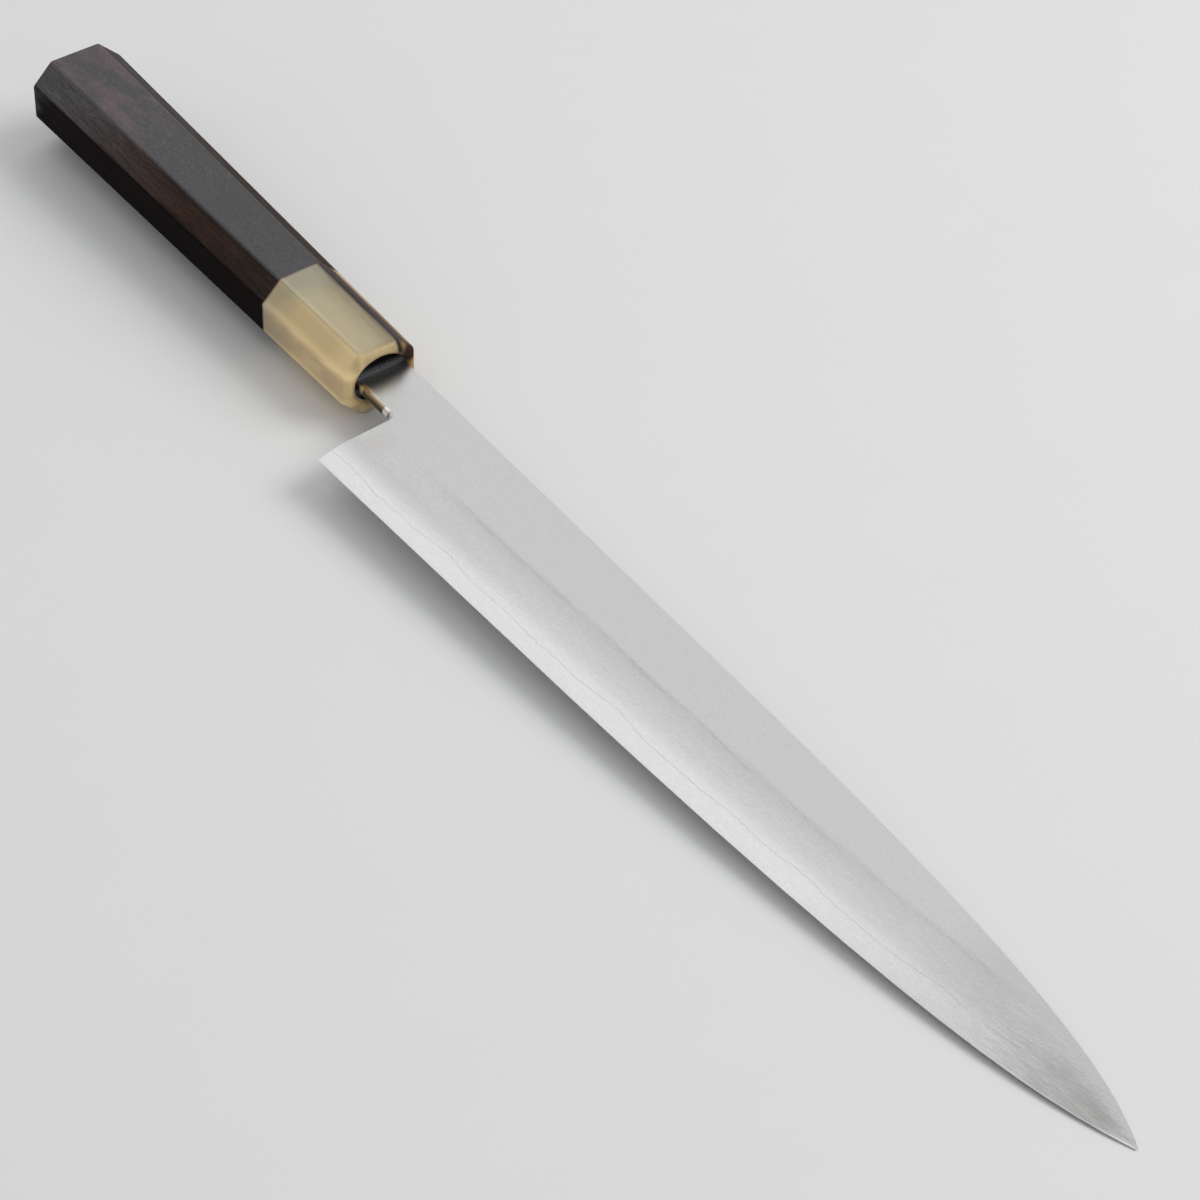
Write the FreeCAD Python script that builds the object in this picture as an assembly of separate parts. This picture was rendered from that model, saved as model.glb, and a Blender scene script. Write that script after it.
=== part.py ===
import FreeCAD, Part
import math
import os

# Laminated slicing knife with an octagonal handle, lying on its left face.
# +X runs from butt to tip, +Y towards the spine, +Z up through the right face. Millimetres.
# Every piece is drawn level on the handle's axis, with x = 0 at the ferrule's front face,
# and the knife is then laid down so that the ferrule's rim and the point touch the table.

# Blade outline
blade_length = 270.0            # heel corner to point
heel_reach = 16.5               # ferrule's front face to heel corner
heel_height = 36.3              # spine to edge at the heel
heel_lean = 2.6                 # the notch lies this far behind the heel corner
spine_rise = 7.6                # handle's axis to spine
neck_height = 14.3              # spine to the underside of the neck
notch_radius = 1.5              # concave corner between neck and heel
tip_drop = 14.0                 # straight line of the spine down to the point
tip_height = 0.5                # blunt end of the point
edge_tilt = 1.6                 # degrees that the straight edge climbs towards the point
spine_start_share = 0.42        # of the blade's length, where the spine starts to fall
edge_start_share = 0.23         # of the blade's length, where the edge starts to rise
gentle_share = 0.63             # of each curve's height that belongs to its gentle part
gentle_power = 2.7
sharp_power = 9.5

# Blade section
spine_thickness = 3.2           # at the heel
tip_thickness = 0.5             # spine at the point
edge_land = 0.2                 # width of the cutting edge
bevel_width = 17.6              # edge to the soft line where the bevel starts
bevel_heel = 9.5                # the same at the heel, where the bevel is steeper
bevel_grow_share = 0.15         # of the blade's length over which the bevel widens
bevel_limit_share = 0.92        # of the blade's height that the bevel covers at most
shoulder_share = 0.88           # thickness at the top of the bevel against the spine's
crown_share = 0.08              # swell of the bevel against the thickness at its top
spine_ease_share = 0.15         # broken corner of the spine against half the spine's thickness
neck_round = 1.2                # rounded corners of neck and notch
round_steps = 3                 # flats that make up such a corner

# Lamination: the line where the bevel cuts through the cladding wavers along the blade
band_heel = 4.4                 # edge to the line, at the heel
band_tip = 6.3                  # edge to the line, towards the point
band_limit_share = 0.45         # of the bevel's width that the core shows at most
waver_heights = (0.34, 0.28, 0.22)
waver_lengths = (57.0, 34.0, 21.0)
waver_turns_share = (0.1, 0.55, 0.3)
station_count = 64
station_power = 1.25            # above 1, stations crowd towards the point

# Handle
handle_length = 145.0           # butt to the ferrule's front face
ferrule_length = 36.0
front_height = 21.0             # across the spine and edge flats
front_width = 18.8              # across the side flats
front_chamfer = 5.3
butt_height = 25.8
butt_width = 21.0
butt_chamfer = 5.8
facet_round = 0.5               # softened corners between the flats
ferrule_facet_round = 1.0       # the same near the ferrule's front
mouth_facet_round = 4.5         # the same on the ferrule's front face, which is almost oval
ferrule_round = 2.1             # rolled front rim of the ferrule
butt_round = 1.2                # rolled rim of the butt
butt_facet_round = 4.0          # softened corners on the end face of the butt
rim_steps = 5                   # sections that make up a rolled rim
bore_height = 15.4              # oval bore of the ferrule, filled by the tenon
bore_lift = 0.4                 # middle of the bore above the handle's axis
bore_width = 13.0
bore_ease = 0.5                 # broken rim of the bore
mouth_recess = 1.0              # the tenon ends this far inside the ferrule

# Tang
tang_length = 95.0              # from the neck's shoulders
tang_root_height = 11.0
tang_end_height = 6.0
tang_root_thickness = 3.0
tang_end_thickness = 2.2
bedding = 0.6                   # resin round the tang

overrun = 2.0                   # cutting tools pass the surfaces they cut by this much
blend_power = 8                 # sharpness of the blend where one size takes over from another

tip_x = heel_reach + blade_length
shoulder_x = -mouth_recess
neck_low_y = spine_rise - neck_height


def mix(start, end, share):
    return start + (end - start) * share


def soft_min(first, second):
    return (first ** -blend_power + second ** -blend_power) ** (-1 / blend_power)


def along(x):
    return (x - heel_reach) / blade_length


def sweep(share, start_share):
    run = max(0.0, (share - start_share) / (1 - start_share))
    return gentle_share * run ** gentle_power + (1 - gentle_share) * run ** sharp_power


def spine_y(x):
    return spine_rise - tip_drop * sweep(along(x), spine_start_share)


def straight_edge_y(x):
    return spine_rise - heel_height + (x - heel_reach) * math.tan(math.radians(edge_tilt))


def edge_y(x):
    belly = spine_y(tip_x) - tip_height - straight_edge_y(tip_x)
    return straight_edge_y(x) + belly * sweep(along(x), edge_start_share)


def spine_half(x):
    return mix(spine_thickness, tip_thickness, along(x)) / 2


def bevel_rise(x):
    grown = min(1.0, max(0.0, along(x) / bevel_grow_share))
    width = mix(bevel_heel, bevel_width, grown * grown * (3 - 2 * grown))
    return soft_min(width, bevel_limit_share * (spine_y(x) - edge_y(x)))


def bevel_half(x, rise):
    """Half the thickness at a height above the edge: a straight taper with a slight swell."""
    share = rise / bevel_rise(x)
    shoulder = spine_half(x) * shoulder_share
    swell = 4 * crown_share * shoulder * share * (1 - share)
    return mix(edge_land / 2, shoulder, share) + swell


def band_rise(x, side):
    """Height of the lamination line above the edge on one face; the two faces waver apart."""
    height = mix(band_heel, band_tip, along(x))
    for size, length, turn in zip(waver_heights, waver_lengths, waver_turns_share):
        height += size * math.sin(2 * math.pi * (x / length + side * turn))
    return soft_min(height, band_limit_share * bevel_rise(x))


def core_half(x, side):
    return bevel_half(x, band_rise(x, side))


def bevel_point(x, rise, side):
    return FreeCAD.Vector(x, edge_y(x) + rise, side * bevel_half(x, rise))


def bevel_arc(x, low, high, side):
    ends = [bevel_point(x, rise, side) for rise in (low, (low + high) / 2, high)]
    return Part.Arc(*ends).toShape()


def polyline(points):
    return [Part.makeLine(start, end) for start, end in zip(points, points[1:])]


def cladding_section(x, side):
    top = spine_y(x)
    half = spine_half(x)
    ease = half * spine_ease_share
    line = band_rise(x, side)
    shoulder = bevel_rise(x)
    back = [
        bevel_point(x, shoulder, side),
        FreeCAD.Vector(x, top - ease, side * half),
        FreeCAD.Vector(x, top, side * (half - ease)),
        FreeCAD.Vector(x, top, side * core_half(x, side)),
        bevel_point(x, line, side),
    ]
    return Part.Wire([bevel_arc(x, line, shoulder, side)] + polyline(back))


def core_section(x):
    top = spine_y(x)
    right = band_rise(x, 1)
    left = band_rise(x, -1)
    back = [
        bevel_point(x, right, 1),
        FreeCAD.Vector(x, top, core_half(x, 1)),
        FreeCAD.Vector(x, top, -core_half(x, -1)),
        bevel_point(x, left, -1),
    ]
    low = [bevel_point(x, 0, -1), bevel_point(x, 0, 1)]
    edges = [bevel_arc(x, 0, right, 1)] + polyline(back)
    return Part.Wire(edges + [bevel_arc(x, left, 0, -1)] + polyline(low))


def stations():
    shares = [1 - (1 - step / station_count) ** station_power for step in range(station_count + 1)]
    return [mix(shoulder_x, tip_x, share) for share in shares]


def rounded_outline(points, radii):
    """Closed outline with an arc of the given radius in each corner, or a sharp corner for zero."""
    count = len(points)
    starts = []
    ends = []
    edges = []
    for number, corner in enumerate(points):
        inward = (points[number - 1] - corner).normalize()
        outward = (points[(number + 1) % count] - corner).normalize()
        half_angle = inward.getAngle(outward) / 2
        reach = radii[number] / math.tan(half_angle)
        starts.append(corner + inward * reach)
        ends.append(corner + outward * reach)
        if radii[number] > 0:
            middle = (inward + outward).normalize()
            depth = radii[number] / math.sin(half_angle) - radii[number]
            edges.append(Part.Arc(starts[-1], corner + middle * depth, ends[-1]).toShape())
    for number in range(count):
        edges.append(Part.makeLine(ends[number - 1], starts[number]))
    return Part.Wire(Part.__sortEdges__(edges))


def notch_outline(z, growth):
    """Space below the neck and behind the heel, grown into the steel by the given amount."""
    heel = FreeCAD.Vector(heel_reach, edge_y(heel_reach), z)
    corner = FreeCAD.Vector(heel_reach - heel_lean, neck_low_y, z)
    below = heel + (heel - corner).normalize() * overrun
    grown = corner + FreeCAD.Vector(growth, growth, 0)
    far_x = shoulder_x - overrun
    points = [
        FreeCAD.Vector(far_x, grown.y, z),
        grown,
        below,
        FreeCAD.Vector(far_x, below.y, z),
    ]
    return rounded_outline(points, [0, notch_radius + growth, 0, 0])


def notch_tool(side):
    """Cutter for half the notch, from the blade's middle out past one face, with a flared mouth."""
    start_z = spine_half(0) * shoulder_share - neck_round
    wires = [notch_outline(0, 0)]
    for step in range(round_steps + 1):
        angle = math.pi / 2 * step / round_steps
        growth = neck_round * (1 - math.cos(angle))
        wires.append(notch_outline(side * (start_z + neck_round * math.sin(angle)), growth))
    last = neck_round * math.sin(math.pi / 2 / round_steps)
    lift = neck_round * (1 - math.cos(math.pi / 2 / round_steps))
    wires.append(notch_outline(side * (start_z + neck_round + lift), neck_round + last))
    wires.append(notch_outline(side * (spine_half(shoulder_x) + overrun), neck_round + last))
    return Part.makeLoft(wires, True, True)


def tapered_solid(start, end):
    """Solid between two like outlines, with true planes between their straight edges."""
    faces = [Part.Face(start), Part.Face(end)]
    for first, last in zip(start.OrderedEdges, end.OrderedEdges):
        side = Part.makeRuledSurface(first, last)
        if side.findPlane():
            corners = [vertex.Point for vertex in side.OuterWire.OrderedVertexes]
            side = Part.Face(Part.makePolygon(corners + corners[:1]))
        faces.append(side)
    shell = Part.makeShell(faces)
    shell.sewShape()
    return Part.makeSolid(shell)


def box_section(x, low_y, high_y, low_z, high_z):
    corners = [
        FreeCAD.Vector(x, low_y, low_z),
        FreeCAD.Vector(x, high_y, low_z),
        FreeCAD.Vector(x, high_y, high_z),
        FreeCAD.Vector(x, low_y, high_z),
    ]
    return Part.makePolygon(corners + corners[:1])


def tang_layer(low_z, high_z):
    """One layer of the tang, from its heights above the middle at the root; it thins with the tang."""
    thin_share = tang_end_thickness / tang_root_thickness
    root_y = tang_root_height / 2
    end_y = tang_end_height / 2
    root = box_section(shoulder_x, -root_y, root_y, low_z, high_z)
    end = box_section(shoulder_x - tang_length, -end_y, end_y, low_z * thin_share, high_z * thin_share)
    return tapered_solid(end, root)


def steel_layer(sections, tang):
    layer = Part.makeLoft(sections, True, False)
    return layer.cut([notch_tool(1), notch_tool(-1)]).fuse(tang).removeSplitter()


def core_steel():
    tang = tang_layer(-core_half(shoulder_x, -1), core_half(shoulder_x, 1))
    return steel_layer([core_section(x) for x in stations()], tang)


def cladding(side):
    inner = side * core_half(shoulder_x, side)
    tang = tang_layer(inner, side * tang_root_thickness / 2)
    return steel_layer([cladding_section(x, side) for x in stations()], tang)


def octagon(x, inset, corner_round):
    """Softened octagon across the handle, with every flat moved in by the inset."""
    share = -x / handle_length
    high = mix(front_height, butt_height, share) / 2 - inset
    wide = mix(front_width, butt_width, share) / 2 - inset
    chamfer = mix(front_chamfer, butt_chamfer, share) - inset * (2 - math.sqrt(2))
    quarter = [(high - chamfer, wide), (high, wide - chamfer)]
    half = quarter + [(y, -z) for y, z in reversed(quarter)]
    corners = half + [(-y, -z) for y, z in half]
    points = [FreeCAD.Vector(x, y, z) for y, z in corners]
    return rounded_outline(points, [corner_round] * len(points))


def octagon_bar(start_x, rim_x, radius, corner_round, end_corner_round):
    """Octagonal bar from start_x to rim_x, where its end rolls over in a quarter round."""
    inward = math.copysign(radius, start_x - rim_x)
    rim = []
    for step in range(rim_steps + 1):
        angle = math.pi / 2 * step / rim_steps
        depth = 1 - math.cos(angle)
        corner = mix(corner_round, end_corner_round, depth)
        rim.append(octagon(rim_x + inward * (1 - math.sin(angle)), radius * depth, corner))
    bar = tapered_solid(octagon(start_x, 0, facet_round), rim[0])
    return bar.fuse(Part.makeLoft(rim, True, False))


def oval(start_x, end_x, growth_start, growth_end):
    """Oval bar along X on the bore's outline, grown by the given amounts at its two ends."""
    wires = []
    for x, growth in ((start_x, growth_start), (end_x, growth_end)):
        matrix = FreeCAD.Matrix()
        matrix.scale(1, bore_height / 2 + growth, bore_width / 2 + growth)
        circle = Part.makeCircle(1, FreeCAD.Vector(0, 0, 0), FreeCAD.Vector(1, 0, 0))
        ring = circle.transformGeometry(matrix)
        ring.translate(FreeCAD.Vector(x, bore_lift, 0))
        wires.append(Part.Wire(ring))
    return Part.makeLoft(wires, True, True)


def ferrule():
    collar = octagon_bar(-ferrule_length, 0, ferrule_round, ferrule_facet_round, mouth_facet_round)
    bore = oval(-ferrule_length - overrun, overrun, 0, 0)
    rim = oval(-bore_ease, bore_ease, 0, 2 * bore_ease)
    return collar.cut([bore, rim])


def tang_slot():
    root_y = tang_root_height / 2 + bedding
    root_z = tang_root_thickness / 2 + bedding
    end_y = tang_end_height / 2 + bedding
    end_z = tang_end_thickness / 2 + bedding
    root = box_section(shoulder_x, -root_y, root_y, -root_z, root_z)
    end = box_section(shoulder_x - tang_length - bedding, -end_y, end_y, -end_z, end_z)
    return tapered_solid(end, root)


def handle_body():
    grip = octagon_bar(-ferrule_length, -handle_length, butt_round, facet_round, butt_facet_round)
    tenon = oval(-ferrule_length, shoulder_x, 0, 0)
    return grip.fuse(tenon).cut(tang_slot()).removeSplitter()


def tang_bedding():
    tang = tang_layer(-tang_root_thickness / 2, tang_root_thickness / 2)
    return tang_slot().cut(tang)


def lying_pitch():
    """Angle that brings the point down onto the table on which the ferrule's rolled rim lies."""
    run = tip_x + ferrule_round
    drop = front_width / 2 - ferrule_round - tip_thickness / 2
    return math.atan2(drop, run) + math.asin(ferrule_round / math.hypot(drop, run))


def lay_down(pieces):
    """Turn the knife about Y and put the middle of its box's underside at the origin."""
    axis = FreeCAD.Vector(0, 1, 0)
    for shape in pieces.values():
        shape.rotate(FreeCAD.Vector(0, 0, 0), axis, math.degrees(lying_pitch()))
    box = Part.makeCompound(list(pieces.values())).optimalBoundingBox(False, False)
    shift = FreeCAD.Vector(-box.Center.x, -box.Center.y, -box.ZMin)
    for shape in pieces.values():
        shape.translate(shift)


pieces = {
    "core_steel": core_steel(),
    "right_cladding": cladding(1),
    "left_cladding": cladding(-1),
    "ferrule": ferrule(),
    "handle_body": handle_body(),
    "tang_bedding": tang_bedding(),
}
lay_down(pieces)
os.makedirs("parts", exist_ok=True)
for name, shape in pieces.items():
    shape.exportStep("parts/" + name + ".step")
    print(name, len(shape.Solids), "solid", round(shape.Volume, 1), "mm3", shape.isValid())
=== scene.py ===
import bmesh
import bpy
import math
from mathutils import Matrix, Vector

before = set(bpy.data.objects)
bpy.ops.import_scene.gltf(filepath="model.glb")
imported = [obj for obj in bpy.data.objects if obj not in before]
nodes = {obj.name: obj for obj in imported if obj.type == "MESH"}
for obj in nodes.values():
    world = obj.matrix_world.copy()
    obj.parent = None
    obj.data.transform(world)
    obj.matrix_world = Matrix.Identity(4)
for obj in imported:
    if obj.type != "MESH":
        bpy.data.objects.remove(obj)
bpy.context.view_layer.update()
print("frame loaded:", ", ".join(sorted(nodes)))

# the knife's own axes in mm: x from the ferrule's front face to the point, y to the spine,
# z out of the right face; pitch in degrees and origin in metres, as the knife lies on the floor
lay = {"pitch": 1.8162, "origin": (-0.0705706, 0.0079097, 0.0093456)}
mmPerMetre = 1000.0
noiseMean = 0.5


# small helpers for shader trees; a value is a socket or a plain number
def startMaterial(name):
    material = bpy.data.materials.new(name)
    material.use_nodes = True
    tree = material.node_tree
    shader = tree.nodes["Principled BSDF"]
    return material, tree, shader


def feed(tree, socket, value):
    if isinstance(value, bpy.types.NodeSocket):
        tree.links.new(value, socket)
    else:
        socket.default_value = value


def math2(tree, operation, first, second=0.0, third=0.0):
    node = tree.nodes.new("ShaderNodeMath")
    node.operation = operation
    for socket, value in zip(node.inputs, (first, second, third)):
        feed(tree, socket, value)
    return node.outputs[0]


def minus(tree, first, second):
    return math2(tree, "SUBTRACT", first, second)


def times(tree, first, *others):
    for other in others:
        first = math2(tree, "MULTIPLY", first, other)
    return first


def addShare(tree, base, mask, amount):
    return math2(tree, "MULTIPLY_ADD", mask, amount, base)


def darken(tree, tone, mask, amount):
    return times(tree, tone, addShare(tree, 1.0, mask, -amount))


# base moved to and fro by a pattern
def sway(tree, base, wave, amount, mean=noiseMean):
    return addShare(tree, base, minus(tree, wave, mean), amount)


# a pattern of this amount about a middle value
def spread(tree, middle, wave, amount):
    return addShare(tree, middle - amount / 2, wave, amount)


def lengthOf(tree, across, up):
    return math2(tree, "SQRT", addShare(tree, times(tree, up, up), across, across))


# mask that rises from low at start to high at end, whichever of the two is larger
def fade(tree, value, start, end, low=0.0, high=1.0):
    node = tree.nodes.new("ShaderNodeMapRange")
    node.interpolation_type = "SMOOTHSTEP"
    node.inputs["From Min"].default_value = min(start, end)
    node.inputs["From Max"].default_value = max(start, end)
    node.inputs["To Min"].default_value = low if start < end else high
    node.inputs["To Max"].default_value = high if start < end else low
    feed(tree, node.inputs["Value"], value)
    return node.outputs["Result"]


def stretched(tree, vector, scale, shift):
    node = tree.nodes.new("ShaderNodeMapping")
    node.inputs["Scale"].default_value = scale
    node.inputs["Location"].default_value = shift
    tree.links.new(vector, node.inputs["Vector"])
    return node.outputs["Vector"]


def slanted(tree, vector, sizes, turn):
    node = tree.nodes.new("ShaderNodeMapping")
    node.vector_type = "TEXTURE"        # sizes in mm, along and across the turned direction
    node.inputs["Scale"].default_value = sizes
    node.inputs["Rotation"].default_value = (0, 0, math.radians(turn))
    tree.links.new(vector, node.inputs["Vector"])
    return node.outputs["Vector"]


def noise(tree, vector, detail, roughness, scale=1.0, distortion=0.0):
    node = tree.nodes.new("ShaderNodeTexNoise")
    node.inputs["Scale"].default_value = scale
    node.inputs["Detail"].default_value = detail
    node.inputs["Roughness"].default_value = roughness
    node.inputs["Distortion"].default_value = distortion
    tree.links.new(vector, node.inputs["Vector"])
    return node.outputs["Fac"]


def pattern(tree, vector, kind):
    kind = dict(kind)
    if "slant" in kind:
        vector = slanted(tree, vector, kind.pop("slant"), kind.pop("turn"))
    elif "stretch" in kind:
        vector = stretched(tree, vector, kind.pop("stretch"), kind.pop("shift", (0, 0, 0)))
    return noise(tree, vector, **kind)


def makePatterns(tree, vector, look):
    return {name: pattern(tree, vector, kind) for name, kind in look["patterns"].items()}


def grey(level):
    return (level, level, level)


def ramp(tree, value, stops):
    node = tree.nodes.new("ShaderNodeValToRGB")
    points = node.color_ramp.elements
    while len(points) < len(stops):
        points.new(0.5)     # each point is placed below
    for point, (place, colour) in zip(points, stops):
        point.position = place
        point.color = (*colour, 1)
    feed(tree, node.inputs["Fac"], value)
    return node.outputs["Color"]


def levels(tree, value, start, span, table):
    place = math2(tree, "DIVIDE", minus(tree, value, start), span)
    return ramp(tree, place, [(where, grey(level)) for where, level in table])


def mixColour(tree, share, first, second, kind="MIX"):
    node = tree.nodes.new("ShaderNodeMix")
    node.data_type = "RGBA"
    node.blend_type = kind
    feed(tree, node.inputs["Factor"], share)
    for name, value in (("A", first), ("B", second)):
        socket = [s for s in node.inputs if s.name == name and s.type == "RGBA"][0]
        feed(tree, socket, value if isinstance(value, bpy.types.NodeSocket) else (*value, 1))
    return [s for s in node.outputs if s.type == "RGBA"][0]


def scaleColour(tree, colour, factor):
    top = 2.0       # brightest factor that the ramp can turn into a colour
    shade = ramp(tree, times(tree, factor, 1 / top), ((0.0, grey(0.0)), (1.0, grey(top))))
    return mixColour(tree, 1.0, colour, shade, "MULTIPLY")


def bump(tree, height, strength, distance):
    node = tree.nodes.new("ShaderNodeBump")
    node.inputs["Strength"].default_value = strength
    node.inputs["Distance"].default_value = distance
    tree.links.new(height, node.inputs["Height"])
    return node.outputs["Normal"]


def knifeCoords(tree):
    coord = tree.nodes.new("ShaderNodeTexCoord")
    node = tree.nodes.new("ShaderNodeMapping")
    pitch = math.radians(-lay["pitch"])
    origin = Matrix.Rotation(pitch, 3, "Y") @ Vector(lay["origin"])
    node.inputs["Location"].default_value = origin * -mmPerMetre
    node.inputs["Rotation"].default_value = (0, pitch, 0)
    node.inputs["Scale"].default_value = (mmPerMetre, mmPerMetre, mmPerMetre)
    tree.links.new(coord.outputs["Object"], node.inputs["Vector"])
    return node.outputs["Vector"]


def splitAxes(tree, vector):
    node = tree.nodes.new("ShaderNodeSeparateXYZ")
    tree.links.new(vector, node.inputs[0])
    return node.outputs


# blade: outline, bevel and lamination as the solids have them, in mm
bladeShape = {
    "heelX": 16.5, "length": 270.0, "spineY": 7.6, "heelHeight": 36.3, "tipDrop": 14.0, "belly": 14.258,
    "edgeTilt": 1.6, "spineStart": 0.42, "edgeStart": 0.23,
    "gentlePower": 2.7, "gentleShare": 0.63, "steepPower": 9.5, "steepShare": 0.37,
    "bevel": 17.6, "bevelHeel": 9.5, "bevelGrowth": 0.15, "bevelLimit": 0.92, "bevelBlend": 2.0,
    "bandHeel": 4.4, "bandTip": 6.3, "bandLimit": 0.45, "bandBlend": 1.0,
    # size, length and turn of each waver of the lamination's line
    "wavers": ((0.34, 57.0, 0.1), (0.28, 34.0, 0.55), (0.22, 21.0, 0.3)),
}


def curveShare(tree, along, start):
    shape = bladeShape
    run = math2(tree, "MAXIMUM", math2(tree, "DIVIDE", minus(tree, along, start), 1 - start), 0.0)
    gentle = times(tree, math2(tree, "POWER", run, shape["gentlePower"]), shape["gentleShare"])
    return addShare(tree, gentle, math2(tree, "POWER", run, shape["steepPower"]), shape["steepShare"])


def bladeField(tree):
    shape = bladeShape
    vector = knifeCoords(tree)
    x, y, z = splitAxes(tree, vector)
    fromHeel = minus(tree, x, shape["heelX"])
    along = math2(tree, "DIVIDE", fromHeel, shape["length"])
    spine = addShare(tree, shape["spineY"], curveShare(tree, along, shape["spineStart"]), -shape["tipDrop"])
    slope = math.tan(math.radians(shape["edgeTilt"]))
    straight = addShare(tree, shape["spineY"] - shape["heelHeight"], fromHeel, slope)
    edge = addShare(tree, straight, curveShare(tree, along, shape["edgeStart"]), shape["belly"])
    rise = minus(tree, y, edge)
    limit = times(tree, minus(tree, spine, edge), shape["bevelLimit"])
    fullBevel = math2(tree, "SMOOTH_MIN", limit, shape["bevel"], shape["bevelBlend"])
    bevel = fade(tree, along, 0.0, shape["bevelGrowth"], shape["bevelHeel"], shape["bevel"])
    bevel = math2(tree, "SMOOTH_MIN", limit, bevel, shape["bevelBlend"])
    side = math2(tree, "SIGN", z)
    band = fade(tree, along, 0.0, 1.0, shape["bandHeel"], shape["bandTip"])
    for size, length, turn in shape["wavers"]:
        phase = addShare(tree, times(tree, side, 2 * math.pi * turn), x, 2 * math.pi / length)
        band = addShare(tree, band, math2(tree, "SINE", phase), size)
    band = math2(tree, "SMOOTH_MIN", band, times(tree, bevel, shape["bandLimit"]), shape["bandBlend"])
    return {"vector": vector, "x": x, "y": y, "z": z, "rise": rise, "fullBevel": fullBevel, "band": band,
            "upBevel": math2(tree, "DIVIDE", rise, fullBevel)}


# finish of the blade; a pair says where a mask starts and where it is full, in mm, as a share of the
# bevel's height or in a pattern, and two more numbers give its values there
bladeFinish = {
    "patterns": {
        # polishing lines along the blade, slanting hairlines, satin grain, slow clouds, trembling line
        "scratch": {"stretch": (0.06, 2.2, 0.4), "detail": 4.0, "roughness": 0.6},
        "fineScratch": {"stretch": (0.35, 6.5, 1.0), "shift": (7, 3, 0), "detail": 3.0, "roughness": 0.65},
        "hatch": {"slant": (1.6, 0.20, 1.0), "turn": 38.0, "detail": 2.0, "roughness": 0.6},
        "tipScratch": {"slant": (5.0, 0.42, 1.0), "turn": 13.0, "detail": 3.0, "roughness": 0.62},
        "grain": {"scale": 2.6, "detail": 2.0, "roughness": 0.6},
        "cloud": {"stretch": (0.035, 0.12, 0.1), "detail": 3.0, "roughness": 0.5},
        "tremble": {"stretch": (0.30, 0.0, 0.15), "detail": 6.0, "roughness": 0.72},
    },
    # brightness of the steel against the share of the bevel's height
    "tones": ((0.0, 0.745), (0.06, 0.775), (0.24, 0.78), (0.34, 0.765), (0.40, 0.745), (0.46, 0.70),
              (0.57, 0.655), (0.70, 0.632), (0.82, 0.618), (1.0, 0.610), (1.12, 0.614)),
    "toneSpan": 1.25, "tint": (1.0, 0.994, 0.986), "bevelTop": (1.1, 0.9),
    # loss of brightness towards the point, low on the bevel and high on it
    "tipFrom": 190.0, "tipSpan": 100.0, "tipSway": 16.0,
    "tipLow": ((0.0, 0.0), (0.2, 0.06), (0.45, 0.087), (0.60, 0.155), (0.72, 0.344),
               (0.82, 0.44), (0.88, 0.42), (0.95, 0.15), (1.0, 0.05)),
    "tipHigh": ((0.25, 0.0), (0.45, 0.08), (0.60, 0.10), (0.80, 0.10), (1.0, 0.06)),
    "lowPart": (1.0, 0.40), "lowStreaks": (0.30, 0.65, 0.86, 1.06),
    # dusky strip over the lamination's line, towards the heel
    "heelDusk": 0.11, "duskFoot": (4.0, 7.2), "duskTop": (14.5, 9.0), "duskAlong": (105.0, 18.0),
    # line of the lamination
    "bandLine": 0.18, "lineTremble": 1.9, "lineWidth": (0.22, 0.05), "lineEnd": (264.0, 248.0),
    "lineWorn": (0.30, 0.55, 0.4, 1.0),
    # soft line at the top of the bevel and the haze under it
    "softLine": 0.15, "softSway": 1.8, "softStart": (26.0, 62.0), "softEnd": (250.0, 232.0),
    "softWidth": (1.5, 0.1), "softGaps": (0.42, 0.60), "softHairs": (0.42, 0.60, 0.05, 1.0),
    "haze": 0.075, "hazeTop": (0.9, 0.0), "hazeFoot": (-5.5, -0.3), "hazeHairs": (0.34, 0.62, 0.25, 1.0),
    # painted highlight: bright edge at the point
    "edgeHighlight": 0.30, "highlightTop": (0.55, 0.30), "highlightAlong": (246.0, 266.0),
    # grain, lines and hairlines
    "grit": 0.30, "flatLines": 0.08, "bevelLines": 0.26, "hatch": 0.28, "hatchUp": (0.30, 0.60),
    "tipLines": 0.66, "tipLinesAlong": (222.0, 262.0), "tipLinesUp": (1.0, 0.6, 0.4, 1.0),
    "tipLinesMean": 0.47,
    # dark scale at the ferrule's mouth, partly painted shade of the dark mouth; the brown at its end is a
    # painted reflection of the horn rim
    "scaleAndMouthShade": 0.35, "scaleShadeAlong": (2.4, -1.0), "scaleShadeSway": 0.8,
    "brown": (0.40, 0.28, 0.20), "rimReflectionShare": 0.22, "rimReflectionStart": (0.6, 2.2), "rimReflectionEnd": (3.4, 2.0),
    # warmer where the steel is dull, faint stain at the heel
    "warm": (0.50, 0.455, 0.40), "dullWarm": 0.25, "softWarm": 0.22,
    "stain": (0.50, 0.43, 0.36), "stainShare": 0.16, "stainPlace": (21.0, 14.5), "stainReach": (6.0, 0.0),
    "stainSway": 5.0,
    # rolled underside of the neck against z, painted as what it reflects: painted shade below, a gold
    # painted reflection of the horn in the middle, a painted highlight at the arris; two painted glints
    "underReflectionTones": ((0.0, (0.04, 0.03, 0.02)), (0.26, (0.06, 0.045, 0.03)), (0.42, (0.16, 0.11, 0.065)),
                   (0.56, (0.40, 0.29, 0.17)), (0.70, (0.50, 0.38, 0.24)), (0.78, (0.90, 0.88, 0.85))),
    "underScale": 0.5, "underEnd": (13.6, 12.8), "underTop": (-5.35, -5.7),
    "glint": (0.92, 0.90, 0.86), "glintShare": 0.8,
    "glints": (((0.2, 0.9), (2.3, 1.5)), ((10.4, 11.0), (12.9, 12.4))),
    # roughness of each zone, then the relief
    "flatRough": 0.36, "hazeRough": 0.40, "lowRough": 0.31, "lowZone": (0.7, 0.3),
    "neckRough": 0.29, "neckZone": (15.0, 6.0), "underRough": 0.22, "roughLines": 0.10,
    "scratchRelief": 0.6, "grainRelief": 0.4, "bumpStrength": 0.08, "bumpDepth": 0.00005,
}


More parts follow.
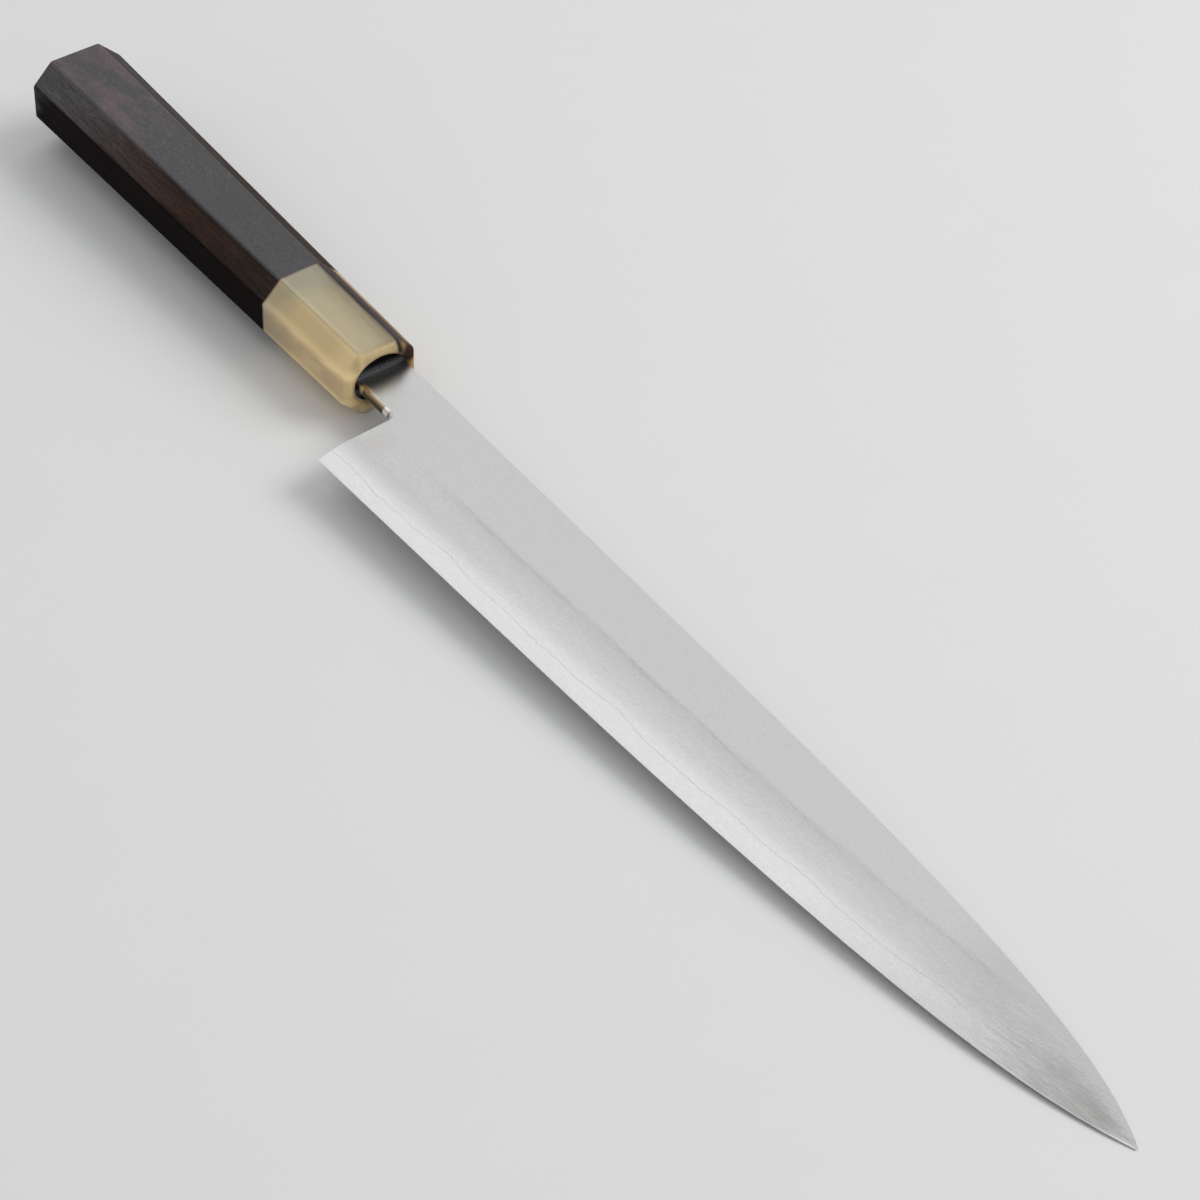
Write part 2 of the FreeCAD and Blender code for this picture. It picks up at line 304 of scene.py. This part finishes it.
def bladeSteel(name):
    look = bladeFinish
    material, tree, shader = startMaterial(name)
    field = bladeField(tree)
    x, y, rise, upBevel = field["x"], field["y"], field["rise"], field["upBevel"]
    marks = makePatterns(tree, field["vector"], look)
    scratch, fineScratch = marks["scratch"], marks["fineScratch"]
    grain, cloud = marks["grain"], marks["cloud"]
    inBevel = fade(tree, upBevel, *look["bevelTop"])

    # bright towards the edge, one even level on the flat, duller towards the point
    stops = [(place / look["toneSpan"], grey(level)) for place, level in look["tones"]]
    tone = ramp(tree, math2(tree, "DIVIDE", upBevel, look["toneSpan"]), stops)
    drift = sway(tree, x, cloud, look["tipSway"])
    lowLoss = levels(tree, drift, look["tipFrom"], look["tipSpan"], look["tipLow"])
    highLoss = levels(tree, drift, look["tipFrom"], look["tipSpan"], look["tipHigh"])
    low = times(tree, fade(tree, upBevel, *look["lowPart"]), fade(tree, scratch, *look["lowStreaks"]))
    dull = times(tree, low, lowLoss)
    tone = darken(tree, darken(tree, tone, dull, 1.0), highLoss, 1.0)
    dusk = times(tree, fade(tree, rise, *look["duskFoot"]), fade(tree, rise, *look["duskTop"]))
    tone = darken(tree, tone, times(tree, dusk, fade(tree, x, *look["duskAlong"])), look["heelDusk"])

    # line of the lamination, with a finer tremble than the solid has
    line = sway(tree, field["band"], marks["tremble"], look["lineTremble"])
    onLine = fade(tree, math2(tree, "ABSOLUTE", minus(tree, rise, line)), *look["lineWidth"])
    onLine = times(tree, onLine, fade(tree, x, *look["lineEnd"]), fade(tree, scratch, *look["lineWorn"]))
    tone = darken(tree, tone, onLine, look["bandLine"])

    # soft broken line at the top of the bevel, haze falling away under it
    fromTop = minus(tree, sway(tree, rise, cloud, look["softSway"]), field["fullBevel"])
    reach = times(tree, fade(tree, x, *look["softStart"]), fade(tree, x, *look["softEnd"]))
    broken = times(tree, fade(tree, scratch, *look["softGaps"]), reach)
    thin = times(tree, fade(tree, math2(tree, "ABSOLUTE", fromTop), *look["softWidth"]), broken)
    thin = times(tree, thin, fade(tree, fineScratch, *look["softHairs"]))
    tone = darken(tree, tone, thin, look["softLine"])
    haze = times(tree, fade(tree, fromTop, *look["hazeTop"]), fade(tree, fromTop, *look["hazeFoot"]), reach)
    haze = times(tree, haze, fade(tree, fineScratch, *look["hazeHairs"]))
    tone = darken(tree, tone, haze, look["haze"])
    # painted highlight along the edge at the point
    highlight = times(tree, fade(tree, rise, *look["highlightTop"]), fade(tree, x, *look["highlightAlong"]))
    tone = darken(tree, tone, highlight, -look["edgeHighlight"])

    # satin grain over all, lengthwise lines mostly in the bevel, hairlines near its top and at the point
    tone = times(tree, tone, spread(tree, 1.0, grain, look["grit"]))
    lines = addShare(tree, look["flatLines"], inBevel, look["bevelLines"])
    tone = times(tree, tone, sway(tree, 1.0, fineScratch, lines))
    worn = times(tree, fade(tree, upBevel, *look["hatchUp"]), inBevel, look["hatch"])
    tone = times(tree, tone, sway(tree, 1.0, marks["hatch"], worn))
    worn = times(tree, fade(tree, x, *look["tipLinesAlong"]), look["tipLines"])
    worn = times(tree, worn, fade(tree, upBevel, *look["tipLinesUp"]))
    tone = times(tree, tone, sway(tree, 1.0, marks["tipScratch"], worn, look["tipLinesMean"]))

    # dark scale where the neck leaves the ferrule, partly painted shade of the dark mouth; brown at its end,
    # a painted reflection of the horn rim; and a faint stain at the heel
    fromMouth = sway(tree, x, grain, look["scaleShadeSway"])
    tone = darken(tree, tone, fade(tree, fromMouth, *look["scaleShadeAlong"]), look["scaleAndMouthShade"])
    colour = ramp(tree, tone, ((0.0, grey(0.0)), (1.0, look["tint"])))
    brown = times(tree, fade(tree, x, *look["rimReflectionEnd"]), fade(tree, x, *look["rimReflectionStart"]))
    colour = mixColour(tree, times(tree, brown, look["rimReflectionShare"]), colour, look["brown"])
    warmth = addShare(tree, times(tree, thin, look["softWarm"]), dull, look["dullWarm"])
    colour = mixColour(tree, warmth, colour, look["warm"])
    stainX, stainUp = look["stainPlace"]
    away = lengthOf(tree, minus(tree, x, stainX), minus(tree, rise, stainUp))
    away = sway(tree, away, cloud, look["stainSway"])
    stain = times(tree, fade(tree, away, *look["stainReach"]), look["stainShare"])
    colour = mixColour(tree, stain, colour, look["stain"])

    # rolled underside of the neck: painted reflection, painted shade, painted highlight and two painted
    # glints
    under = times(tree, fade(tree, x, *look["underEnd"]), fade(tree, y, *look["underTop"]))
    strip = times(tree, math2(tree, "ABSOLUTE", field["z"]), look["underScale"])
    colour = mixColour(tree, under, colour, ramp(tree, strip, look["underReflectionTones"]))
    glints = [times(tree, fade(tree, x, *start), fade(tree, x, *end)) for start, end in look["glints"]]
    glint = times(tree, under, math2(tree, "ADD", *glints), look["glintShare"])
    colour = mixColour(tree, glint, colour, look["glint"])
    tree.links.new(colour, shader.inputs["Base Color"])

    flatRough = look["flatRough"]
    rough = addShare(tree, flatRough, haze, look["hazeRough"] - flatRough)
    rough = addShare(tree, rough, fade(tree, upBevel, *look["lowZone"]), look["lowRough"] - flatRough)
    rough = addShare(tree, rough, fade(tree, x, *look["neckZone"]), look["neckRough"] - flatRough)
    rough = sway(tree, rough, fineScratch, look["roughLines"])
    rough = addShare(tree, rough, under, look["underRough"] - look["neckRough"])
    tree.links.new(rough, shader.inputs["Roughness"])
    relief = addShare(tree, times(tree, grain, look["grainRelief"]), fineScratch, look["scratchRelief"])
    tree.links.new(bump(tree, relief, look["bumpStrength"], look["bumpDepth"]), shader.inputs["Normal"])
    shader.inputs["Metallic"].default_value = 1.0
    return material


# ferrule and handle share one tapering octagon: half sizes in mm at x 0, and their growth towards the butt
octagon = {"halfHigh": 10.5, "highGrowth": 0.01655, "halfWide": 9.4, "wideGrowth": 0.00759,
           "chamfer": 5.3, "chamferGrowth": 0.00345}


def octagonField(tree):
    vector = knifeCoords(tree)
    x, y, z = splitAxes(tree, vector)
    back = times(tree, x, -1.0)
    high = addShare(tree, octagon["halfHigh"], back, octagon["highGrowth"])
    wide = addShare(tree, octagon["halfWide"], back, octagon["wideGrowth"])
    deep, out = math2(tree, "ABSOLUTE", y), math2(tree, "ABSOLUTE", z)
    return {"vector": vector, "x": x, "y": y, "z": z,
            "back": back, "high": high, "wide": wide, "deep": deep, "out": out,
            "fromSide": minus(tree, wide, out),         # 0 on the two side flats
            "fromEdge": minus(tree, high, deep)}        # 0 on the edge and spine flats


def octagonArrises(tree, field):
    chamfer = addShare(tree, octagon["chamfer"], field["back"], octagon["chamferGrowth"])
    pastSide = minus(tree, field["deep"], minus(tree, field["high"], chamfer))    # 0 where a side flat ends
    pastEdge = minus(tree, field["out"], minus(tree, field["wide"], chamfer))     # 0 where an edge flat ends
    return pastSide, pastEdge


# ferrule: pale horn, creamy grey on the side flats, warmer and painted lighter on the chamfers as painted
# light, a dark vein along the spine
hornFinish = {
    "patterns": {
        "cloud": {"stretch": (0.05, 0.11, 0.11), "shift": (3, 1, 0), "detail": 2.0, "roughness": 0.5,
                  "distortion": 0.4},
        "streak": {"stretch": (0.03, 0.30, 0.30), "detail": 2.0, "roughness": 0.5, "distortion": 0.4},
        "fibre": {"stretch": (0.09, 2.6, 2.6), "detail": 3.0, "roughness": 0.6},
    },
    # warm, the chamfers' colour, is painted lighter than the side flats, as painted light for their weaker
    # lighting
    "side": (0.45, 0.385, 0.25), "sideBorder": (0.7, 0.05), "warm": (0.72, 0.56, 0.305),
    # amber streaks on the chamfers, tan clouds on the edge flats, grey towards the handle
    "amber": (0.62, 0.43, 0.19), "amberChamfer": 0.26, "amberSide": 0.10, "amberStreaks": (0.42, 0.68),
    "amberStart": (0.4, 2.4, 0.35, 1.0),
    "tan": (0.50, 0.35, 0.20), "tanShare": 0.7, "tanBorder": (0.6, 0.05), "tanClouds": (0.40, 0.62),
    "backGrey": (0.345, 0.325, 0.240), "greyChamfer": 0.58, "greySide": 0.78, "greyAlong": (-20.0, -35.0),
    "greySway": 12.0,
    # dark vein with hairs before it, a brown line outside and a black one inside
    "vein": (0.045, 0.034, 0.034), "veinBorder": (4.1, 5.4), "veinSway": 1.2,
    "hairStart": (1.8, 4.8), "hairFibres": (0.36, 0.66, 0.0, 0.40),
    "outerLine": (0.30, 0.19, 0.09), "outerBorder": (8.4, 9.8), "outerFibres": (0.30, 0.62, 0.55, 0.95),
    "outerStreaks": (0.36, 0.62),
    "innerLine": (0.014, 0.010, 0.010), "innerPlace": 0.45, "innerWidth": (0.75, 0.15),
    "innerStart": (2.0, 4.0), "innerAlong": (-35.0, -22.0, 0.0, 0.8),
    # brown round the mouth, painted shade with an amber tint at the rim of the bore, dark spot at the front
    # corner, reddish line at the joint with the handle
    "rim": (0.46, 0.28, 0.095), "rimAlong": (-2.0, -0.6), "rimBorder": (5.5, 7.5),
    "boreLift": 0.4, "boreHigh": 7.7, "boreWide": 6.5,
    "boreShade": (0.30, 0.20, 0.085), "boreReach": (1.18, 1.03, 0.0, 0.70),
    "spot": (0.03, 0.011, 0.005), "spotPlace": (-0.6, 8.5, 4.1), "spotReach": (3.4, 1.5),
    "joint": (0.24, 0.10, 0.07), "jointAlong": (-35.3, -35.8), "jointUp": (2.0, -4.0, 0.25, 0.9),
    # brightness of fibres; painted highlights on the arrises; the side flats from edge to spine; painted
    # light on the front and painted shade on its rolled rim
    "fibres": 0.025,
    "sideArrisHighlight": (1.5, 0.1, 0.0, 0.18), "edgeArrisHighlight": (2.0, 0.1, 0.0, 0.27), "arrisHighlightUp": (4.0, 1.0),
    "acrossDark": 0.24, "acrossUp": (-2.2, 5.0, -0.3, 1.0), "acrossAlong": (-33.0, -25.0),
    "frontGlow": 0.16, "frontAlong": (-11.0, -3.0),
    "rolledShade": 0.20, "rolledAlong": (-2.2, -0.7), "rolledUp": (-9.2, -6.4),
    "roughness": 0.28, "roughStreaks": 0.14, "veinRough": 0.85, "bumpStrength": 0.04, "bumpDepth": 0.00005,
    "glow": 0.5, "glowRadius": (1.0, 0.72, 0.38), "glowScale": 0.0025, "ior": 1.54, "specular": 0.22,
}


def polishedHorn(name):
    look = hornFinish
    material, tree, shader = startMaterial(name)
    field = octagonField(tree)
    vector, x, y, fromSide = field["vector"], field["x"], field["y"], field["fromSide"]
    pastSide, pastEdge = octagonArrises(tree, field)
    marks = makePatterns(tree, vector, look)
    cloud, streak, fibre = marks["cloud"], marks["streak"], marks["fibre"]
    onSide = fade(tree, fromSide, *look["sideBorder"])
    # chamfers painted warmer and lighter than the side flats, as painted light
    colour = mixColour(tree, onSide, look["warm"], look["side"])
    amber = addShare(tree, look["amberChamfer"], onSide, look["amberSide"] - look["amberChamfer"])
    amber = times(tree, fade(tree, streak, *look["amberStreaks"]), amber)
    amber = times(tree, amber, fade(tree, fromSide, *look["amberStart"]))
    colour = mixColour(tree, amber, colour, look["amber"])
    onEdge = fade(tree, field["fromEdge"], *look["tanBorder"])
    tan = times(tree, onEdge, fade(tree, cloud, *look["tanClouds"]), look["tanShare"])
    colour = mixColour(tree, tan, colour, look["tan"])
    greyed = addShare(tree, look["greyChamfer"], onSide, look["greySide"] - look["greyChamfer"])
    greyed = times(tree, fade(tree, sway(tree, x, cloud, look["greySway"]), *look["greyAlong"]), greyed)
    colour = mixColour(tree, greyed, colour, look["backGrey"])

    # vein on the spine side
    drift = sway(tree, y, cloud, look["veinSway"])
    vein = fade(tree, drift, *look["veinBorder"])
    hair = times(tree, fade(tree, drift, *look["hairStart"]), fade(tree, fibre, *look["hairFibres"]))
    colour = mixColour(tree, hair, colour, look["vein"])
    colour = mixColour(tree, vein, colour, look["vein"])
    outer = times(tree, fade(tree, drift, *look["outerBorder"]), fade(tree, fibre, *look["outerFibres"]))
    outerLine = mixColour(tree, fade(tree, streak, *look["outerStreaks"]), look["tan"], look["outerLine"])
    colour = mixColour(tree, outer, colour, outerLine)
    inner = math2(tree, "ABSOLUTE", minus(tree, pastSide, look["innerPlace"]))
    inner = times(tree, fade(tree, inner, *look["innerWidth"]), fade(tree, y, *look["innerStart"]))
    inner = times(tree, inner, fade(tree, x, *look["innerAlong"]))
    colour = mixColour(tree, inner, colour, look["innerLine"])

    # mouth with painted shade at the rim of its bore, spot at its corner, joint with the handle
    rim = times(tree, fade(tree, x, *look["rimAlong"]), fade(tree, drift, *look["rimBorder"]))
    colour = mixColour(tree, rim, colour, look["rim"])
    high = math2(tree, "DIVIDE", minus(tree, y, look["boreLift"]), look["boreHigh"])
    wide = math2(tree, "DIVIDE", field["z"], look["boreWide"])
    boreShadow = fade(tree, lengthOf(tree, high, wide), *look["boreReach"])
    colour = mixColour(tree, boreShadow, colour, look["boreShade"])
    corner = tree.nodes.new("ShaderNodeVectorMath")
    corner.operation = "DISTANCE"
    tree.links.new(vector, corner.inputs[0])
    corner.inputs[1].default_value = look["spotPlace"]
    colour = mixColour(tree, fade(tree, corner.outputs["Value"], *look["spotReach"]), colour, look["spot"])
    joint = times(tree, fade(tree, x, *look["jointAlong"]), fade(tree, y, *look["jointUp"]))
    colour = mixColour(tree, joint, colour, look["joint"])

    # painted highlights on the arrises, side flats darker towards the spine, painted light on the front,
    # painted shade on the roll of its rim
    glow = math2(tree, "MAXIMUM", fade(tree, math2(tree, "ABSOLUTE", pastSide), *look["sideArrisHighlight"]),
                 fade(tree, math2(tree, "ABSOLUTE", pastEdge), *look["edgeArrisHighlight"]))
    lift = spread(tree, 1.0, fibre, look["fibres"])
    lift = addShare(tree, lift, glow, fade(tree, y, *look["arrisHighlightUp"]))
    across = times(tree, fade(tree, y, *look["acrossUp"]), fade(tree, x, *look["acrossAlong"]), onSide)
    lift = addShare(tree, lift, across, -look["acrossDark"])
    rolled = times(tree, fade(tree, x, *look["rolledAlong"]), fade(tree, y, *look["rolledUp"]))
    plain = minus(tree, 1.0, math2(tree, "MAXIMUM", onSide, rolled))
    forward = times(tree, fade(tree, x, *look["frontAlong"]), plain)
    lift = addShare(tree, lift, forward, look["frontGlow"])
    lift = addShare(tree, lift, rolled, -look["rolledShade"])
    tree.links.new(scaleColour(tree, colour, lift), shader.inputs["Base Color"])
    rough = spread(tree, look["roughness"], streak, look["roughStreaks"])
    rough = addShare(tree, rough, vein, look["veinRough"] - look["roughness"])
    tree.links.new(rough, shader.inputs["Roughness"])
    tree.links.new(bump(tree, fibre, look["bumpStrength"], look["bumpDepth"]), shader.inputs["Normal"])
    shader.inputs["Subsurface Weight"].default_value = look["glow"]
    shader.inputs["Subsurface Radius"].default_value = look["glowRadius"]
    shader.inputs["Subsurface Scale"].default_value = look["glowScale"]
    shader.inputs["IOR"].default_value = look["ior"]
    shader.inputs["Specular IOR Level"].default_value = look["specular"]
    return material


# handle: oiled ebony, side flats painted pale grey as a sheen, brown chamfers with a painted grey sheen
# towards the butt, edge flat painted dark as shade
ebonyFinish = {
    "patterns": {
        "streak": {"stretch": (0.02, 0.20, 0.20), "detail": 3.0, "roughness": 0.55, "distortion": 0.8},
        "fibre": {"stretch": (0.10, 2.4, 2.4), "detail": 5.0, "roughness": 0.68},
        "pore": {"stretch": (0.35, 6.0, 6.0), "detail": 2.0, "roughness": 0.5},
        "patch": {"stretch": (0.07, 0.17, 0.17), "shift": (5, 2, 0), "detail": 3.0, "roughness": 0.5},
        "scuff": {"slant": (2.4, 0.45, 0.8), "turn": -34.0, "detail": 3.0, "roughness": 0.7,
                  "distortion": 0.6},
        "sand": {"scale": 1.7, "detail": 3.0, "roughness": 0.75},
    },
    # chamfers with brown streaks and a painted grey sheen towards the butt
    "chamfer": (0.0365, 0.0265, 0.0225),
    "brown": (0.085, 0.042, 0.030), "brownStreaks": (0.46, 0.66, 0.0, 0.40),
    "buttSheen": (0.110, 0.105, 0.107), "buttSheenAlong": (-76.0, -146.0), "buttSheenUp": (5.0, -5.0, 0.35, 1.0),
    "buttSheenSway": 40.0,
    # side flats painted pale grey as a sheen, with a blush near the butt and pale scuffs half way
    "side": (0.100, 0.0975, 0.1005), "sideBorder": (0.7, 0.15),
    "blush": (0.152, 0.120, 0.129), "blushAlong": (-90.0, -118.0), "blushPatches": (0.38, 0.58, 0.0, 0.85),
    "scuff": (0.155, 0.150, 0.150), "scuffStart": (-66.0, -82.0), "scuffEnd": (-126.0, -110.0),
    "scuffs": (0.55, 0.66, 0.0, 0.7),
    # edge flat painted near black as shade, spine flat dark brown, both plainer at the butt
    "edgeFlatShade": (0.0095, 0.0076, 0.0068), "spineFlat": (0.022, 0.0165, 0.0145), "spineSide": (-1.0, 1.0),
    "flatBorder": (0.8, 0.15), "flatAlong": (-150.0, -138.0, 0.25, 1.0), "flatSway": 20.0,
    # fibres, sanded grain and pores, on the chamfers and on the side flats
    "weave": ((0.30, (0.62, 0.60, 0.60)), (0.52, (1.0, 1.0, 1.0)), (0.72, (1.5, 1.4, 1.35))),
    "weaveChamfer": 1.0, "weaveSide": 0.14, "sandChamfer": 1.30, "sandSide": 1.00,
    "pore": (0.006, 0.005, 0.005), "pores": (0.62, 0.70), "poreChamfer": 0.6, "poreSide": 0.18,
    # end of the tenon in the ferrule's mouth: black as painted shade towards the rim of the mouth, grey half
    # way across
    "inside": (0.003, 0.003, 0.003), "insideAlong": (-35.8, -34.5),
    "tenonGrey": (0.125, 0.130, 0.140), "tenonGreyAcross": (4.6, 2.0), "tenonGreySand": (0.30, 0.66, 0.4, 1.0),
    "roughness": 0.52, "roughPatches": 0.16, "poreRough": 0.2, "specular": 0.012,
    "fibreRelief": 0.35, "poreRelief": -1.0, "bumpStrength": 0.14, "bumpDepth": 0.0001,
}


def oiledEbony(name):
    look = ebonyFinish
    material, tree, shader = startMaterial(name)
    field = octagonField(tree)
    x, y = field["x"], field["y"]
    marks = makePatterns(tree, field["vector"], look)
    fibre, patch, sand = marks["fibre"], marks["patch"], marks["sand"]
    onPore = fade(tree, marks["pore"], *look["pores"])
    onSide = fade(tree, field["fromSide"], *look["sideBorder"])
    toButt = sway(tree, x, patch, look["flatSway"])
    onFlat = fade(tree, field["fromEdge"], *look["flatBorder"])
    onFlat = times(tree, onFlat, fade(tree, toButt, *look["flatAlong"]))

    # chamfers, with a painted grey sheen towards the butt
    brown = fade(tree, marks["streak"], *look["brownStreaks"])
    colour = mixColour(tree, brown, look["chamfer"], look["brown"])
    buttSheen = fade(tree, sway(tree, x, patch, look["buttSheenSway"]), *look["buttSheenAlong"])
    colour = mixColour(tree, times(tree, buttSheen, fade(tree, y, *look["buttSheenUp"])), colour, look["buttSheen"])

    # flats: side flats painted pale as a sheen, edge flat painted dark as shade
    blush = times(tree, fade(tree, x, *look["blushAlong"]), fade(tree, patch, *look["blushPatches"]))
    side = mixColour(tree, blush, look["side"], look["blush"])
    scuffed = times(tree, fade(tree, x, *look["scuffStart"]), fade(tree, x, *look["scuffEnd"]))
    scuffed = times(tree, scuffed, fade(tree, marks["scuff"], *look["scuffs"]))
    side = mixColour(tree, scuffed, side, look["scuff"])
    colour = mixColour(tree, onSide, colour, side)
    flat = mixColour(tree, fade(tree, y, *look["spineSide"]), look["edgeFlatShade"], look["spineFlat"])
    colour = mixColour(tree, onFlat, colour, flat)

    # fibres, sanded grain and pores, strongest off the side flats
    woven = mixColour(tree, 1.0, colour, ramp(tree, fibre, look["weave"]), "MULTIPLY")
    weave = addShare(tree, look["weaveChamfer"], onSide, look["weaveSide"] - look["weaveChamfer"])
    colour = mixColour(tree, weave, colour, woven)
    grit = addShare(tree, look["sandChamfer"], onSide, look["sandSide"] - look["sandChamfer"])
    colour = scaleColour(tree, colour, sway(tree, 1.0, sand, grit))
    poreDepth = addShare(tree, look["poreChamfer"], onSide, look["poreSide"] - look["poreChamfer"])
    colour = mixColour(tree, times(tree, onPore, poreDepth), colour, look["pore"])

    # end of the tenon, black as painted shade towards the rim of the mouth
    tenonGrey = times(tree, fade(tree, field["out"], *look["tenonGreyAcross"]), fade(tree, sand, *look["tenonGreySand"]))
    inside = mixColour(tree, tenonGrey, look["inside"], look["tenonGrey"])
    colour = mixColour(tree, fade(tree, x, *look["insideAlong"]), colour, inside)
    tree.links.new(colour, shader.inputs["Base Color"])
    rough = spread(tree, look["roughness"], patch, look["roughPatches"])
    tree.links.new(addShare(tree, rough, onPore, look["poreRough"]), shader.inputs["Roughness"])
    relief = addShare(tree, times(tree, fibre, look["fibreRelief"]), onPore, look["poreRelief"])
    tree.links.new(bump(tree, relief, look["bumpStrength"], look["bumpDepth"]), shader.inputs["Normal"])
    shader.inputs["Specular IOR Level"].default_value = look["specular"]
    return material


# bedding: grey resin round the tang, hardly seen inside the mouth
resinFinish = {
    "cloud": {"scale": 0.8, "detail": 3.0, "roughness": 0.6},
    "dark": (0.060, 0.060, 0.065), "light": (0.140, 0.140, 0.150), "roughness": 0.6, "specular": 0.2,
}


def settingResin(name):
    look = resinFinish
    material, tree, shader = startMaterial(name)
    cloud = pattern(tree, knifeCoords(tree), look["cloud"])
    tree.links.new(mixColour(tree, cloud, look["dark"], look["light"]), shader.inputs["Base Color"])
    shader.inputs["Roughness"].default_value = look["roughness"]
    shader.inputs["Specular IOR Level"].default_value = look["specular"]
    return material


finishes = {
    "core_steel": bladeSteel("bladeCoreSteel"), "right_cladding": bladeSteel("bladeCladdingSteel"),
    "ferrule": polishedHorn("paleHorn"), "handle_body": oiledEbony("oiledEbony"),
    "tang_bedding": settingResin("settingResin"),
}
finishes["left_cladding"] = finishes["right_cladding"]
for name, material in finishes.items():
    nodes[name].material_slots[0].material = material
print("finishes set on", len(finishes), "pieces")

# studio: pale floor, wide soft boxes, surround that is dimmer at the horizon; metres, watts and degrees
studio = {
    "floorSize": 8.0, "floorCells": 4, "floorColour": (0.78, 0.78, 0.77), "floorDim": 0.985,
    "floorPattern": {"scale": 40.0, "detail": 3.0, "roughness": 0.6},
    "floorRough": 0.85, "floorSpecular": 0.2,
    "surround": (0.97, 0.98, 1.0), "horizon": 0.42, "zenith": 0.60,
}
softBoxes = {
    "keyBox": {"place": (0.75, 1.25, 1.25), "size": (1.2, 1.0), "power": 8.2, "spread": 120.0},
    "backBox": {"place": (-1.25, 0.85, 1.35), "size": (2.4, 2.2), "power": 7.0, "spread": 180.0},
}


def makeFloor():
    mesh = bpy.data.meshes.new("floor")
    bm = bmesh.new()
    cells = studio["floorCells"]
    bmesh.ops.create_grid(bm, x_segments=cells, y_segments=cells, size=studio["floorSize"] / 2)
    bm.to_mesh(mesh)
    bm.free()
    floor = bpy.data.objects.new("floor", mesh)
    bpy.context.scene.collection.objects.link(floor)
    material, tree, shader = startMaterial("paleFloor")
    coord = tree.nodes.new("ShaderNodeTexCoord")
    tone = pattern(tree, coord.outputs["Object"], studio["floorPattern"])
    dim = tuple(studio["floorDim"] * part for part in studio["floorColour"])
    tree.links.new(mixColour(tree, tone, dim, studio["floorColour"]), shader.inputs["Base Color"])
    shader.inputs["Roughness"].default_value = studio["floorRough"]
    shader.inputs["Specular IOR Level"].default_value = studio["floorSpecular"]
    mesh.materials.append(material)


def makeLights():
    for name, box in softBoxes.items():
        light = bpy.data.lights.new(name, "AREA")
        light.shape = "RECTANGLE"
        light.size, light.size_y = box["size"]
        light.energy = box["power"]
        light.spread = math.radians(box["spread"])      # a narrow one leaves the floor below the box plain
        lamp = bpy.data.objects.new(name, light)
        lamp.location = box["place"]
        lamp.rotation_euler = (-Vector(box["place"])).to_track_quat("-Z", "Y").to_euler()
        bpy.context.scene.collection.objects.link(lamp)
    world = bpy.data.worlds.new("surround")
    world.use_nodes = True
    tree = world.node_tree
    back = tree.nodes["Background"]
    back.inputs["Color"].default_value = (*studio["surround"], 1)
    coord = tree.nodes.new("ShaderNodeTexCoord")
    height = splitAxes(tree, coord.outputs["Generated"])[2]
    strength = fade(tree, height, 0.0, 1.0, studio["horizon"], studio["zenith"])
    tree.links.new(strength, back.inputs["Strength"])
    bpy.context.scene.world = world


makeFloor()
makeLights()
print("studio set")

# camera: level, looking down on the knife from beside the point; degrees, mm and metres
cameraView = {"azimuth": 54.43, "elevation": 41.67, "lens": 126.96, "sensor": 36.0,
              "place": (0.61116, -0.41453, 0.64999), "clip": (0.01, 50.0)}


def makeCamera():
    azimuth, elevation = math.radians(cameraView["azimuth"]), math.radians(cameraView["elevation"])
    flat = math.cos(elevation)
    back = Vector((math.sin(azimuth) * flat, -math.cos(azimuth) * flat, math.sin(elevation)))
    data = bpy.data.cameras.new("camera")
    data.sensor_width = cameraView["sensor"]
    data.lens = cameraView["lens"]
    data.clip_start, data.clip_end = cameraView["clip"]
    camera = bpy.data.objects.new("camera", data)
    camera.location = cameraView["place"]
    camera.rotation_euler = (-back).to_track_quat("-Z", "Y").to_euler()
    bpy.context.scene.collection.objects.link(camera)
    bpy.context.scene.camera = camera


makeCamera()
bpy.context.scene.view_settings.view_transform = "Standard"
